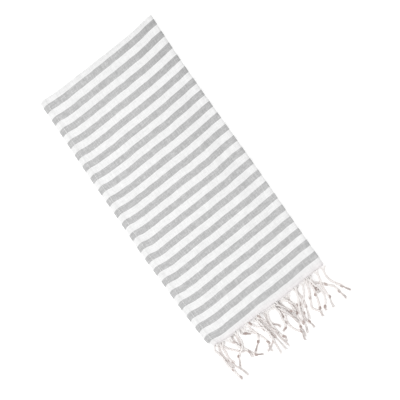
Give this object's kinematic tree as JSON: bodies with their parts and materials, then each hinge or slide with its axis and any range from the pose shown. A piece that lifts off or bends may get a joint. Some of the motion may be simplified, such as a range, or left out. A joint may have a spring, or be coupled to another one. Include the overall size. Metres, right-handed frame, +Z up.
{
  "type": "tea towel",
  "caption": "Flat-woven cotton tea towel with even grey and white stripes and a twisted, knotted fringe, folded and lying flat.",
  "frame": {"origin": "middle of the folded cloth's flat underside, at the height of the surface it lies on", "axes": "+Z up out of the surface, +Y along the folded cloth towards the closed end of the crosswise fold, -Y towards the fringe, -X towards the hem that shows on top"},
  "size_m": [0.1801, 0.4191, 0.0142],
  "materials": {
    "striped_cotton": "matt plain-woven cotton, white with mid-grey weft stripes",
    "fringe_yarn": "matt twisted cotton yarn, cream with shaded crevices"
  },
  "bodies": {
    "root": {"cloth": "striped_cotton", "upper_fringe": "fringe_yarn", "under_fringe": "fringe_yarn"}
  },
  "joints": []
}
